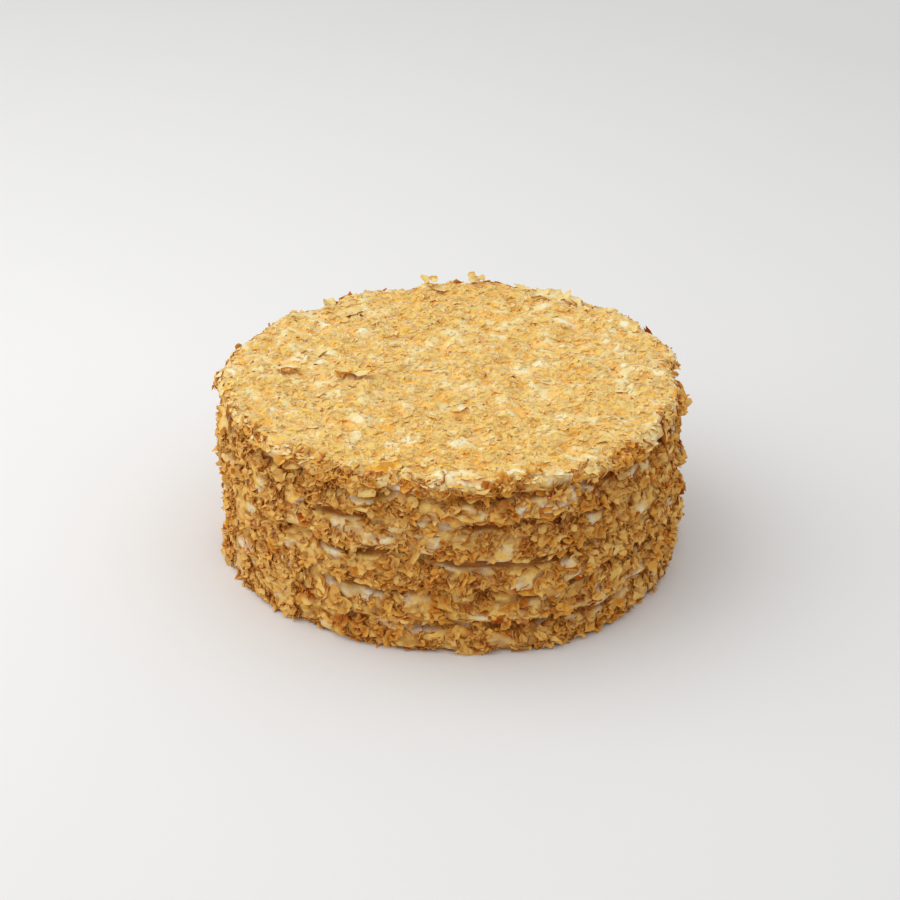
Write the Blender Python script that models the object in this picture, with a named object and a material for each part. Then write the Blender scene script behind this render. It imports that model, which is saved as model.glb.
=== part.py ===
"""Round layered pastry cake with a crumb coat, for Blender 4.5.

Metres, +Z up. The origin is the centre of the flat underside, and -Y is the front.
The cake is one solid: the coat of cream and pastry crumbs hides the sheets, and they show only
as ledges round the side. The largest pastry flakes are fused to the coat.
"""

import math
import random

import bmesh
import bpy
from mathutils import Vector, geometry, noise

MM = 0.001

# The round body, without the flakes that stand out of it
RADIUS = 87.6 * MM
HEIGHT = 70.0 * MM
FOOT_TUCK = 1.6 * MM  # how far the foot runs in under the lowest sheet
RIM_ROUND = 4.0 * MM  # height over which the top rim turns in
RIM_INSET = 2.4 * MM

# The outline swells towards the right and is flatter on the left
OUTLINE_SWELL = 0.014
OUTLINE_LUMP = 0.7 * MM
OUTLINE_LUMP_RATE = 1.7
OUTLINE_LEVEL = 3.1
NOISE_GAIN = 1.6  # brings the noise to about -1 to 1

# Grooves between the pastry sheets, as shares of the height
SHEET_LINES = (0.0, 0.16, 0.37, 0.56, 0.76, 0.93)
TOP_SHEET = len(SHEET_LINES) - 1
LINE_SWAY = 2.4 * MM
LINE_SWAY_RATE = 2.6
LINE_LEVEL_GAP = 5.0  # between the noise of one groove and the next
TOP_SHEET_LEAST = 5.5 * MM  # least height between the highest groove and the rim
LEDGE_DEPTH = 2.0 * MM
LEDGE_FAINTEST = 0.12  # share of the depth that is left where a ledge fades out
LEDGE_USUAL = 0.62
LEDGE_CHANGE = 0.8
LEDGE_RATE = 3.4
LEDGE_LEVEL = 11.0
LEDGE_LEVEL_GAP = 4.0
LIP_AT = 0.2  # share of a sheet's height at which its lip stands furthest out
LIP_END = 0.86
LIP_END_LEVEL = -0.25

# Swells of cream and clumps of crumbs in the coat: size across and height
WALL_SWELL = (16.0 * MM, 1.5 * MM)
TOP_SWELL = (22.0 * MM, 1.4 * MM)
WALL_CLUMP = (8.5 * MM, 2.3 * MM)
TOP_CLUMP = (8.5 * MM, 1.5 * MM)
TOP_TILT = 1.3 * MM  # the top is this much higher at the back right than at the centre
TOP_TILT_ANGLE = math.radians(55.0)

# How finely the body is divided
SEGMENTS = 92
SHEET_STEPS = (0.0, LIP_AT, 0.55)
TOP_SHEET_STEPS = (0.0, 0.4, 0.75, 1.0)
TOP_POINT_GAP = 6.2 * MM
TOP_EDGE_GAP = 0.7  # from the rim to the nearest of these points, as a share of their gap
TRIANGLE_SLACK = 1e-7
POINT_STRAY = 0.3  # how far a point strays along its row, as a share of the gap
HEIGHT_STRAY = 0.07  # and up or down the side, as a share of a sheet
STRAY_SEED = 5

# Crumbs: angular bumps raised from the body's own faces, no two of them touching
CRUMB_RISE = (0.8 * MM, 2.3 * MM)
CRUMB_TAPER = (0.35, 0.85)
CRUMB_SKEW = 0.5 * MM
CRUMB_LOWEST_NORMAL = -0.2  # none hang from the underside of a ledge
CRUMB_LOWEST = 0.6 * MM  # height over the ground of the lowest crumb's points
CRUMB_SEED = 7

# Large flakes: how many, their length, and their width and curl as shares of the length
WALL_FLAKES = 30
TOP_FLAKES = 20
FLAKE_LENGTH = (7.5 * MM, 13.0 * MM)
FLAKE_WIDTH = (0.5, 0.8)
FLAKE_RIM_POINTS = 7
FLAKE_RAGGED = 0.28
FLAKE_CROWN = 1.1 * MM  # height of a flake's middle over the coat
FLAKE_ROOT = 2.8 * MM  # depth of its middle in the coat
FLAKE_LOWEST = 0.15  # shares of a sheet's height between which its flakes are centred
FLAKE_HIGHEST = 0.6
FLAKE_LEAST_HEIGHT = 7.0 * MM  # of a flake's centre over the ground
FLAKE_LIFT = 0.4 * MM
FLAKE_CURL = (0.06, 0.2)
WALL_FLAKE_TILT = math.radians(24.0)
TOP_FLAKE_TILT = math.radians(13.0)
WALL_FLAKE_RISE = 0.15  # slope of the side's flakes, which face a little upwards
TOP_FLAKE_REACH = 0.93  # of the top's radius
GOLDEN_ANGLE = math.pi * (3.0 - math.sqrt(5.0))
FLAKE_SEED = 41

COAT_COLOUR = (0.60, 0.36, 0.13, 1.0)
COAT_ROUGHNESS = 0.8


def clear_scene():
    for obj in list(bpy.data.objects):
        bpy.data.objects.remove(obj)


def smooth_step(share):
    share = min(max(share, 0.0), 1.0)
    return share * share * (3.0 - 2.0 * share)


def relief(place, swell, clump):
    """Height of the coat at a place: soft swells, with clumps that meet in creases."""
    swell_across, swell_rise = swell
    clump_across, clump_rise = clump
    nearest = noise.voronoi(place / clump_across)[0][0]
    return swell_rise * noise.noise(place / swell_across) + clump_rise * (0.5 - nearest)


def round_noise(angle, rate, level):
    """Noise that closes on itself round the cake, from about -1 to 1."""
    place = Vector((rate * math.cos(angle), rate * math.sin(angle), level))
    return NOISE_GAIN * noise.noise(place)


def outline_radius(angle):
    swell = OUTLINE_SWELL * (math.cos(angle) - math.cos(3.0 * angle))
    lump = OUTLINE_LUMP * round_noise(angle, OUTLINE_LUMP_RATE, OUTLINE_LEVEL)
    return RADIUS * (1.0 + swell) + lump


def top_height(x, y):
    """Height of the top at a place in plan."""
    back_right = (x * math.cos(TOP_TILT_ANGLE) + y * math.sin(TOP_TILT_ANGLE)) / RADIUS
    return HEIGHT + TOP_TILT * back_right + relief(Vector((x, y, 0.0)), TOP_SWELL, TOP_CLUMP)


def rim_height(angle):
    reach = outline_radius(angle) - RIM_INSET
    return top_height(reach * math.cos(angle), reach * math.sin(angle)) - RIM_INSET / 2


def line_height(line, angle):
    """Height of a groove at an angle. The line past the last groove is the top rim."""
    if line == 0:
        return 0.0
    if line > TOP_SHEET:
        return rim_height(angle)
    sway = LINE_SWAY * round_noise(angle, LINE_SWAY_RATE, LINE_LEVEL_GAP * line)
    return min(HEIGHT * SHEET_LINES[line] + sway, rim_height(angle) - TOP_SHEET_LEAST)


def ledge_shape(share):
    """How far a sheet stands out, from -1 in the groove below it to 1 at its lip."""
    if share < LIP_AT:
        return 2.0 * smooth_step(share / LIP_AT) - 1.0
    if share < LIP_END:
        return 1.0 + (LIP_END_LEVEL - 1.0) * (share - LIP_AT) / (LIP_END - LIP_AT)
    return LIP_END_LEVEL - (1.0 + LIP_END_LEVEL) * smooth_step((share - LIP_END) / (1.0 - LIP_END))


def ledge_depth(line, angle):
    """Half the depth of the groove under a sheet. It fades in and out round the cake."""
    change = round_noise(angle, LEDGE_RATE, LEDGE_LEVEL + LEDGE_LEVEL_GAP * line)
    strength = smooth_step(LEDGE_USUAL + LEDGE_CHANGE * change)
    return LEDGE_DEPTH * (LEDGE_FAINTEST + (1.0 - LEDGE_FAINTEST) * strength)


def wall_point(line, share, angle):
    """Point on the side: a sheet's line, a share of the way up that sheet, and an angle."""
    low = line_height(line, angle)
    high = line_height(line + 1, angle)
    height = low + (high - low) * share
    top_sheet = line == TOP_SHEET
    depth_below = ledge_depth(line, angle)
    depth_above = ledge_depth(min(line + 1, TOP_SHEET), angle)
    depth = depth_below + (depth_above - depth_below) * share
    shape = ledge_shape(min(share, LIP_AT) if top_sheet else share)
    radius = outline_radius(angle) + depth * shape
    if line == 0:
        radius -= FOOT_TUCK * (1.0 - smooth_step(share / LIP_AT))
    around = Vector((math.cos(angle), math.sin(angle), 0.0))
    if height > 0.0:
        radius += relief(around * RADIUS + Vector((0.0, 0.0, height)), WALL_SWELL, WALL_CLUMP)
    into_rim = max(0.0, (height - (high if top_sheet else HEIGHT) + RIM_ROUND) / RIM_ROUND)
    radius -= RIM_INSET * (1.0 - math.sqrt(max(0.0, 1.0 - min(into_rim, 1.0) ** 2)))
    return around * radius + Vector((0.0, 0.0, height))


def wall_rows():
    """The rows of the side from the foot to the rim, as (line, share)."""
    rows = [(line, share) for line in range(TOP_SHEET) for share in SHEET_STEPS]
    return rows + [(TOP_SHEET, share) for share in TOP_SHEET_STEPS]


def wall_ring(draw, row, line, share):
    """The points of one row. Every second row is turned by half a gap, and points stray from it."""
    between_ledges = share > 0.0 and line < TOP_SHEET
    ring = []
    for i in range(SEGMENTS):
        stray = POINT_STRAY * draw.uniform(-1.0, 1.0) if line or share else 0.0
        angle = math.tau * (i + 0.5 * (row % 2) + stray) / SEGMENTS
        rise = HEIGHT_STRAY * draw.uniform(-1.0, 1.0) if between_ledges else 0.0
        ring.append(wall_point(line, share + rise, angle))
    return ring


def add_wall(body):
    """The side, as rows of points joined by triangles. Returns the foot's and the rim's points."""
    draw = random.Random(STRAY_SEED)
    rows = wall_rows()
    rings = []
    for row, (line, share) in enumerate(rows):
        rings.append([body.verts.new(point) for point in wall_ring(draw, row, line, share)])
    for row, (below, above) in enumerate(zip(rings, rings[1:])):
        for i in range(SEGMENTS):
            j = (i + 1) % SEGMENTS
            if row % 2:
                body.faces.new((below[i], above[j], above[i]))
                body.faces.new((below[i], below[j], above[j]))
            else:
                body.faces.new((below[i], below[j], above[i]))
                body.faces.new((below[j], above[j], above[i]))
    return rings[0], rings[-1]


def top_places(rim):
    """Places in plan for the top's own points: a strayed triangular grid inside the rim."""
    draw = random.Random(STRAY_SEED)
    row_gap = TOP_POINT_GAP * math.sqrt(3.0) / 2.0
    reach = int(RADIUS / row_gap) + 1
    inner = []
    for row in range(-reach, reach + 1):
        for column in range(-reach, reach + 1):
            x = (column + 0.5 * (row % 2) + POINT_STRAY * draw.uniform(-1.0, 1.0)) * TOP_POINT_GAP
            y = (row + POINT_STRAY * draw.uniform(-1.0, 1.0)) * row_gap
            edge = rim[round(math.atan2(y, x) / math.tau * SEGMENTS) % SEGMENTS]
            if math.hypot(x, y) < edge.xy.length - TOP_EDGE_GAP * TOP_POINT_GAP:
                inner.append(Vector((x, y)))
    return inner


def add_top(body, rim_verts):
    """Closes the top with the rim's points and a grid of its own, each at the top's height."""
    rim = [vert.co for vert in rim_verts]
    places = [point.xy for point in rim] + top_places(rim)
    edges = [(i, (i + 1) % SEGMENTS) for i in range(SEGMENTS)]
    triangles = geometry.delaunay_2d_cdt(places, edges, [], 1, TRIANGLE_SLACK)[2]
    verts = rim_verts + [
        body.verts.new((place.x, place.y, top_height(place.x, place.y)))
        for place in places[SEGMENTS:]
    ]
    for triangle in triangles:
        body.faces.new([verts[i] for i in triangle])


def raise_crumbs(body):
    """Draws single faces of the side and top out into crumbs of uneven height and lean."""
    draw = random.Random(CRUMB_SEED)
    faces = [face for face in body.faces if face.normal.z > CRUMB_LOWEST_NORMAL]
    draw.shuffle(faces)
    taken = set()
    chosen = []
    for face in faces:
        if taken.isdisjoint(face.verts):
            taken.update(face.verts)
            chosen.append(face)
    for face in bmesh.ops.extrude_discrete_faces(body, faces=chosen)["faces"]:
        middle = face.calc_center_median()
        outward = face.normal.copy()
        taper = draw.uniform(*CRUMB_TAPER)
        skew = Vector([draw.uniform(-CRUMB_SKEW, CRUMB_SKEW) for _ in range(3)])
        for vert in face.verts:
            rise = outward * draw.uniform(*CRUMB_RISE)
            vert.co = middle + (vert.co - middle) * taper + rise + skew
            vert.co.z = max(vert.co.z, CRUMB_LOWEST)


def build_body():
    """The cake with its crumbs but without its flakes, as a mesh of triangles."""
    body = bmesh.new()
    foot, rim = add_wall(body)
    body.faces.new(list(reversed(foot)))
    add_top(body, rim)
    bmesh.ops.triangulate(body, faces=body.faces[:])
    bmesh.ops.recalc_face_normals(body, faces=body.faces[:])
    raise_crumbs(body)
    bmesh.ops.triangulate(body, faces=body.faces[:])
    mesh = bpy.data.meshes.new("cake")
    body.to_mesh(mesh)
    body.free()
    return mesh


def flake_mesh(draw):
    """A thin pastry flake with a ragged sharp rim, curled away from the cake. +Z points out."""
    length = draw.uniform(*FLAKE_LENGTH)
    width = length * draw.uniform(*FLAKE_WIDTH)
    curl = length * draw.uniform(*FLAKE_CURL)
    flake = bmesh.new()
    crown = flake.verts.new((0.0, 0.0, FLAKE_CROWN))
    root = flake.verts.new((0.0, 0.0, -FLAKE_ROOT))
    rim = []
    for i in range(FLAKE_RIM_POINTS):
        angle = math.tau * i / FLAKE_RIM_POINTS
        reach = 1.0 + FLAKE_RAGGED * draw.uniform(-1.0, 1.0)
        x = 0.5 * length * reach * math.cos(angle)
        y = 0.5 * width * reach * math.sin(angle)
        lift = FLAKE_LIFT + curl * abs(math.cos(angle)) * reach
        rim.append(flake.verts.new((x, y, lift)))
    for i in range(FLAKE_RIM_POINTS):
        j = (i + 1) % FLAKE_RIM_POINTS
        flake.faces.new((crown, rim[i], rim[j]))
        flake.faces.new((root, rim[j], rim[i]))
    mesh = bpy.data.meshes.new("flake")
    flake.to_mesh(mesh)
    flake.free()
    return mesh


def place_flake(collection, draw, place, outward, tilt):
    """Sets a flake on the coat at a place, tilted off the surface and turned at random."""
    flake = bpy.data.objects.new("flake", flake_mesh(draw))
    collection.objects.link(flake)
    lean = outward.orthogonal().normalized()
    spin = draw.uniform(0.0, math.tau)
    axis = lean * math.cos(spin) + outward.cross(lean) * math.sin(spin)
    leaned = (outward + axis * math.tan(tilt * draw.uniform(-1.0, 1.0))).normalized()
    turn = leaned.to_track_quat("Z", "Y")
    flake.rotation_mode = "QUATERNION"
    flake.rotation_quaternion = turn
    flake.location = place


def scatter_flakes():
    """Spreads the large flakes evenly over the side and the top, by the golden angle."""
    collection = bpy.data.collections.new("flakes")
    bpy.context.scene.collection.children.link(collection)
    draw = random.Random(FLAKE_SEED)
    for i in range(WALL_FLAKES):
        angle = i * GOLDEN_ANGLE
        up = len(SHEET_LINES) * (i + 0.5) / WALL_FLAKES
        share = FLAKE_LOWEST + (FLAKE_HIGHEST - FLAKE_LOWEST) * (up % 1.0)
        place = wall_point(int(up), share, angle)
        place.z = max(place.z, FLAKE_LEAST_HEIGHT)
        outward = Vector((math.cos(angle), math.sin(angle), WALL_FLAKE_RISE))
        place_flake(collection, draw, place, outward.normalized(), WALL_FLAKE_TILT)
    for i in range(TOP_FLAKES):
        angle = i * GOLDEN_ANGLE
        reach = TOP_FLAKE_REACH * RADIUS * math.sqrt((i + 0.5) / TOP_FLAKES)
        x = reach * math.cos(angle)
        y = reach * math.sin(angle)
        place = Vector((x, y, top_height(x, y)))
        place_flake(collection, draw, place, Vector((0.0, 0.0, 1.0)), TOP_FLAKE_TILT)
    return collection


def fuse(cake, collection):
    """Joins the flakes to the cake as one solid, then removes them."""
    union = cake.modifiers.new("fuse_flakes", "BOOLEAN")
    union.operation = "UNION"
    union.operand_type = "COLLECTION"
    union.collection = collection
    union.solver = "EXACT"
    union.use_self = True
    graph = bpy.context.evaluated_depsgraph_get()
    cake.data = bpy.data.meshes.new_from_object(cake.evaluated_get(graph))
    cake.modifiers.clear()
    for flake in list(collection.objects):
        bpy.data.objects.remove(flake)
    bpy.data.collections.remove(collection)


def drop_scraps(mesh):
    """Removes loose scraps that the union cut off, and keeps the largest piece."""
    body = bmesh.new()
    body.from_mesh(mesh)
    unseen = set(body.verts)
    pieces = []
    while unseen:
        piece = set()
        front = [unseen.pop()]
        while front:
            vert = front.pop()
            piece.add(vert)
            found = [edge.other_vert(vert) for edge in vert.link_edges]
            fresh = [other for other in found if other in unseen]
            unseen.difference_update(fresh)
            front += fresh
        pieces.append(piece)
    pieces.sort(key=len)
    scraps = [vert for piece in pieces[:-1] for vert in piece]
    bmesh.ops.delete(body, geom=scraps, context="VERTS")
    body.to_mesh(mesh)
    body.free()


def coat_material():
    material = bpy.data.materials.new("crumb_coat")
    material.use_nodes = True
    shader = material.node_tree.nodes["Principled BSDF"]
    shader.inputs["Base Color"].default_value = COAT_COLOUR
    shader.inputs["Roughness"].default_value = COAT_ROUGHNESS
    return material


def main():
    clear_scene()
    cake = bpy.data.objects.new("cake", build_body())
    bpy.context.scene.collection.objects.link(cake)
    fuse(cake, scatter_flakes())
    drop_scraps(cake.data)
    cake.data.name = "cake"
    cake.data.materials.clear()
    cake.data.materials.append(coat_material())


main()
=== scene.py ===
"""Looks of the round pastry cake: a lumpy coat of cream with baked crumbs and flakes stuck in it.

Metres, +Z up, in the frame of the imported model. The front is -Y. The coat repeats the model's own
form and adds the fine relief. Every crumb and flake is a small closed leaf of its true size.
"""

import functools
import math
from collections import namedtuple

import bmesh
import bpy
import numpy as np
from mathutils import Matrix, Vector, geometry, noise


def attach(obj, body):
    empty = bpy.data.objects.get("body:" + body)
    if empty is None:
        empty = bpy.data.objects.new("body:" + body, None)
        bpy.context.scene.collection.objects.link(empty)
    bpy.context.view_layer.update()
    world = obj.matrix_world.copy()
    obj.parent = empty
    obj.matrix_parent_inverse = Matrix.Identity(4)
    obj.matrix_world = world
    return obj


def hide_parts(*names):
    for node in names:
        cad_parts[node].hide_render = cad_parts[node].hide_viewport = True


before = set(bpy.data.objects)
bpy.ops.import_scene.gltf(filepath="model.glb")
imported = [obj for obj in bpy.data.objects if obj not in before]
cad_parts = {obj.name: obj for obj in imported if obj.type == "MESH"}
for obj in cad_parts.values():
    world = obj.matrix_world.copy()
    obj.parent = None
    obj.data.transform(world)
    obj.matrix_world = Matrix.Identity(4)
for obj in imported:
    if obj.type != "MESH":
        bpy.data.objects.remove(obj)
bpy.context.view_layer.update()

MM = 0.001

# The form of the cake, with the same values as the model
RADIUS = 87.6 * MM
HEIGHT = 70.0 * MM
FOOT_TUCK = 1.6 * MM
RIM_ROUND = 4.0 * MM
RIM_INSET = 2.4 * MM
OUTLINE_SWELL = 0.014
OUTLINE_LUMP = 0.7 * MM
OUTLINE_LUMP_RATE = 1.7
OUTLINE_LEVEL = 3.1
NOISE_GAIN = 1.6
SHEET_LINES = (0.0, 0.16, 0.37, 0.56, 0.76, 0.93)
TOP_SHEET = len(SHEET_LINES) - 1
LINE_SWAY = 2.4 * MM
LINE_SWAY_RATE = 2.6
LINE_LEVEL_GAP = 5.0
TOP_SHEET_LEAST = 5.5 * MM
LEDGE_DEPTH = 2.0 * MM
LEDGE_FAINTEST = 0.12
LEDGE_USUAL = 0.62
LEDGE_CHANGE = 0.8
LEDGE_RATE = 3.4
LEDGE_LEVEL = 11.0
LEDGE_LEVEL_GAP = 4.0
LIP_AT = 0.2
LIP_END = 0.86
LIP_END_LEVEL = -0.25
WALL_SWELL = (16.0 * MM, 1.5 * MM)
TOP_SWELL = (22.0 * MM, 1.4 * MM)
WALL_CLUMP = (8.5 * MM, 2.3 * MM)
TOP_CLUMP = (8.5 * MM, 1.5 * MM)
TOP_TILT = 1.3 * MM
TOP_TILT_ANGLE = math.radians(55.0)
CRUMB_MAT = 2.2 * MM  # the crumbs lie this thick on the top
GOLDEN_ANGLE = math.pi * (3.0 - math.sqrt(5.0))

# How finely the coat is divided
COAT_SEGMENTS = 640
COAT_STEP = 0.9 * MM
COAT_TOP_GAP = 1.0 * MM
TRIANGLE_SLACK = 1e-7
COAT_LOWEST = 0.2 * MM  # height over the ground of all but the foot's own points

# Fine relief of the coat: size across and height of each kind of bump
LUMP = (3.4 * MM, 1.0 * MM)
GRAIN = (1.7 * MM, 0.45 * MM)
SMEAR = (5.0 * MM, 0.7 * MM)
TOP_RELIEF = 0.8  # the top's bumps are this share of the side's
TOP_LUMP = (6.0 * MM, 1.7 * MM)  # soft lumps that only the top has
RELIEF_FOLLOWED = 0.7  # how far the flakes turn with the fine relief
SMEAR_STRETCH = 2.4  # cream is smeared along the ledges, so its bumps are this much longer

# Where cream shows, and where the pastry is soaked and smooth with few crumbs: how wide such areas
# are and how much flatter, their shift in the noise, the rate of its finer part, the noise levels
# at which they start on the side and on the top, and how softly they do
CREAM_AREAS = (12.0 * MM, 1.9, Vector((0.0, 0.0, 0.0)), 2.7, (0.16, 0.24), 0.25)
BARE_AREAS = (11.0 * MM, 1.7, Vector((4.7, 1.9, 8.2)), 2.3, (-0.14, 0.22), 0.22)
PATCH_DEPTH = 7.0 * MM  # how far in from the side the named patches reach

# Grooves between the sheets hold few crumbs, and the lips over them hold more
GROOVE_WIDTH = 2.3 * MM
LIP_WIDTH = 2.0 * MM
LIP_OVER_GROOVE = 3.4 * MM
GROOVE_CUT = 2.0 * MM  # the coat is this much deeper in a groove, and stands out more at a lip
LIP_SWELL = 1.0 * MM

# How much paler the crumbs are at the rim, on the left and at both ends, and how much further over
# the rim the side's crumbs reach at the front. The paler left is painted light, for the side that
# faces the window
PALE_RIM = 0.3
PALE_LEFT_PAINTED_LIGHT = 0.4
PALE_ENDS = 0.5
RIM_DROP = 0.38

# Patches of cream that the front shows: degrees to the right of the front, height, half width,
# half height and how far they stand out, in millimetres
CREAM_PATCHES = (
    (-17.0, 71.5, 7.0, 2.0, 0.6),
    (-9.5, 71.0, 4.5, 2.2, 1.4),
    (2.0, 69.6, 17.0, 2.0, 1.1),
    (25.0, 69.0, 11.0, 1.7, 0.9),
    (24.7, 60.0, 10.0, 4.2, 1.6),
    (28.3, 33.5, 4.2, 3.0, 2.2),
    (-2.3, 54.0, 12.0, 3.4, 0.8),
    (-23.4, 60.0, 9.0, 2.6, 0.7),
    (7.0, 37.5, 24.0, 3.6, 0.7),
    (-18.0, 45.0, 10.0, 3.0, 0.6),
    (33.0, 14.0, 12.0, 3.6, 0.6),
)

# Holes in the side, given in the same way: dents in the coat that take the grooves' painted shade
HOLES = (
    (26.1, 51.8, 4.5, 1.8, 3.0),
    (-35.7, 55.9, 3.5, 1.8, 2.6),
    (-37.6, 16.6, 4.0, 1.8, 2.6),
    (30.8, 17.2, 4.5, 1.6, 2.6),
    (10.0, 64.0, 7.0, 1.6, 2.0),
    (40.0, 66.0, 8.0, 1.6, 2.2),
    (8.0, 27.0, 9.0, 1.5, 2.2),
)

# Flakes that stick up from the top: place in plan, length, width and rise in millimetres, how far
# and towards where they lean in degrees, and tone
RAISED_FLAKES = (
    ((-62.9, 3.4), (9.0, 6.0, 1.2), (14.0, 100.0), 0.3),
    ((-36.7, -3.0), (11.0, 7.0, 1.3), (14.0, 80.0), 0.45),
    ((-41.0, -1.0), (7.0, 5.0, 0.6), (10.0, 120.0), 0.85),
    ((-27.0, -77.0), (6.0, 4.0, 0.8), (25.0, 250.0), 0.85),
    ((-23.0, -78.5), (6.5, 4.5, 1.2), (35.0, 290.0), 0.95),
    ((-19.0, -77.0), (5.5, 4.0, 1.0), (30.0, 200.0), 0.75),
    ((-22.0, -74.0), (6.0, 4.0, 1.4), (20.0, 120.0), 0.7),
    ((-16.0, -75.5), (5.0, 3.5, 0.8), (30.0, 340.0), 0.6),
    ((-9.0, 84.0), (5.5, 4.0, 1.9), (40.0, 265.0), 0.55),
    ((-6.0, 82.0), (4.0, 3.0, 2.6), (20.0, 200.0), 0.5),
    ((10.0, 85.0), (6.0, 4.0, 2.0), (45.0, 280.0), 0.5),
    ((13.0, 83.0), (4.5, 3.0, 2.8), (25.0, 330.0), 0.6),
    ((-50.0, 66.0), (5.0, 4.0, 1.3), (30.0, 300.0), 0.5),
    ((30.0, 79.0), (5.0, 3.5, 1.3), (30.0, 250.0), 0.5),
    ((38.0, 74.0), (7.0, 5.0, 0.8), (32.0, 240.0), 0.35),
    ((43.0, 71.0), (7.5, 5.5, 1.0), (42.0, 250.0), 0.3),
    ((48.0, 68.0), (7.5, 5.0, 1.0), (38.0, 230.0), 0.45),
    ((53.0, 64.0), (7.0, 5.0, 0.7), (32.0, 225.0), 0.4),
    ((74.0, 38.0), (5.0, 4.0, 1.2), (30.0, 230.0), 0.55),
)

# How many leaves and shavings there are of each kind
SIDE_CURLS = 6500
SIDE_FLAKES = 2800
TOP_FLAKES = 9800
SIDE_RIBBONS = 5000
TOP_RIBBONS = 6000
LEDGE_FLAKES = 420
RIM_FLAKES = 240
SIDE_EXTRA_LARGE = 50
TOP_EXTRA_LARGE = 40
WALL_LARGE = 30
TOP_LARGE = 20
SCATTER_SEED = 23  # for the random draws, and for the smooth field that turns the crumbs

# The form of each kind of leaf: its length (least, most and how much commoner small ones are), the
# least and most width, curl and ruffle as shares of it, and its rim (points, rings and raggedness)
LeafForm = namedtuple("LeafForm", "length width curl ruffle rim")
CURL_FORM = LeafForm((1.7 * MM, 5.4 * MM, 1.6), (0.5, 0.85), (0.05, 0.5), (0.06, 0.18), (10, 1, 0.35))
SHINGLE_FORM = LeafForm((2.8 * MM, 7.5 * MM, 1.7), (0.5, 0.8), (-0.06, 0.16), (0.02, 0.06), (10, 2, 0.3))
TOP_FORM = LeafForm((1.4 * MM, 5.2 * MM, 1.9), (0.5, 0.85), (-0.08, 0.08), (0.04, 0.11), (8, 1, 0.35))
LEDGE_FORM = LeafForm((2.6 * MM, 7.0 * MM, 1.5), (0.45, 0.7), (0.0, 0.14), (0.03, 0.09), (10, 2, 0.38))
RIM_FORM = LEDGE_FORM._replace(length=(1.8 * MM, 5.0 * MM, 1.5))
LARGE_FORM = LeafForm((7.5 * MM, 12.0 * MM, 1.0), (0.5, 0.8), (0.0, 0.12), (0.02, 0.06), (13, 3, 0.42))
EXTRA_LENGTH = (4.5 * MM, 8.0 * MM, 1.0)
RAISED_CURL = (0.04, 0.2)
RAISED_RUFFLE = (0.06, 0.12)
RAISED_RIM = (13, 3, 0.5)
LEAF_THICKNESS = 0.25 * MM
LEAF_LOWEST = 0.15 * MM  # height over the ground of the lowest points
SHARP_FROM = math.radians(55.0)  # edges sharper than this stay crisp
RIM_WAVES = (2, 3, 4)  # waves round a leaf's rim

# How leaves lie. Lean: the usual angle off the surface in degrees, how much a cluster and chance
# change it, and its limits. Lay: how far faces turn up, how much chance turns them, how wide an area
# lies alike
CURL_LEAN = (38.0, 70.0, 14.0, 4.0, 62.0)
TOP_LEAN = (5.0, 18.0, 4.0, 0.5, 40.0)
SHINGLE_LEAN = 17.0
CURL_LAY = (0.5, 0.35, 4.5 * MM)
TOP_LAY = (0.0, 0.6, 5.0 * MM)
SHINGLE_LAY = (0.9, 0.4, 9.0 * MM)
LARGE_LAY = (0.8, 0.6, 12.0 * MM)
LIP_RISE = 1.6  # how strongly the flakes on a lip turn their faces up
SPIN = 0.6  # how far chance turns a leaf on its face, in radians
SHELF_SPIN = 0.5
CURL_CLUSTER = 5.5 * MM
TOP_CLUSTER = 5.0 * MM

# Flakes on the ledges and the rim: how far they turn up from facing out, least and most, and tone.
# Large flakes: how far they lean, how deep they are sunk in millimetres, least and most, and tone
LEDGE_TURN = (30.0, 65.0, 0.25)
RIM_TURN = (-10.0, 45.0, 0.4)
LARGE_SIDE = (10.0, -0.4, 0.5, 0.25)
LARGE_TOP = (3.0, 0.3, 0.8, 0.3)

# Shavings on edge: their usual length, their height (least, most and how much commoner low ones
# are), half their width at the root, how far they lean in degrees, and their tone
RibbonForm = namedtuple("RibbonForm", "length height half_width lean tone")
SIDE_RIBBON = RibbonForm(2.8 * MM, (0.4 * MM, 1.5 * MM, 1.4), (0.1 * MM, 0.25 * MM), 32.0, 0.45)
TOP_RIBBON = RibbonForm(1.8 * MM, (0.35 * MM, 1.0 * MM, 1.4), (0.3 * MM, 0.6 * MM), 24.0, 0.3)
RIBBON_STEPS = 4
RIBBON_STRETCH = (0.8, 2.2, 1.4)
RIBBON_ACROSS = 4.0 * MM  # shavings lie alike over about this width
RIBBON_BEND = 0.16
RIBBON_WAVE = 0.07
RIBBON_END_DROP = 0.55  # its ends are this much lower than its middle
RIBBON_NOTCH = (0.7, 1.25)
RIBBON_ROOT = 0.5 * MM  # how deep a ribbon is stuck in the coat
RIBBON_TWIST = 12.0
RIBBON_MOST_LEAN = 58.0

# Where crumbs lie: the slopes at which the side's end and the top's start, what thins them out or
# thickens them, and the shares kept on cream and on bare pastry
SIDE_UP_TO = 0.55
TOP_UP_FROM = 0.2
SLOPE_BLEND = 0.3
GROOVE_THINS = 0.88
LIP_THICKENS = 0.9
TOP_BARE_THINS = 0.5
CURLS_KEPT = (0.05, 0.06)
SHINGLES_KEPT = (0.15, 0.35)
SIDE_KEPT = (0.08, 0.18)
TOP_FLAKES_KEPT = 0.25
TOP_KEPT = 0.3
LEDGE_STRAYS = 0.01  # a few ledge flakes lie off the lips
RIM_SLOPE = (0.65, 0.25)  # the slope that rim flakes lie at, and how far from it

# The camera: how far it stands off, its angle above the ground, and what it looks at
CAMERA_DISTANCE = 910.0 * MM
CAMERA_ELEVATION = math.radians(27.1)
CAMERA_FOV = math.radians(22.03)
CAMERA_AIM_HEIGHT = 38.8 * MM

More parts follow.
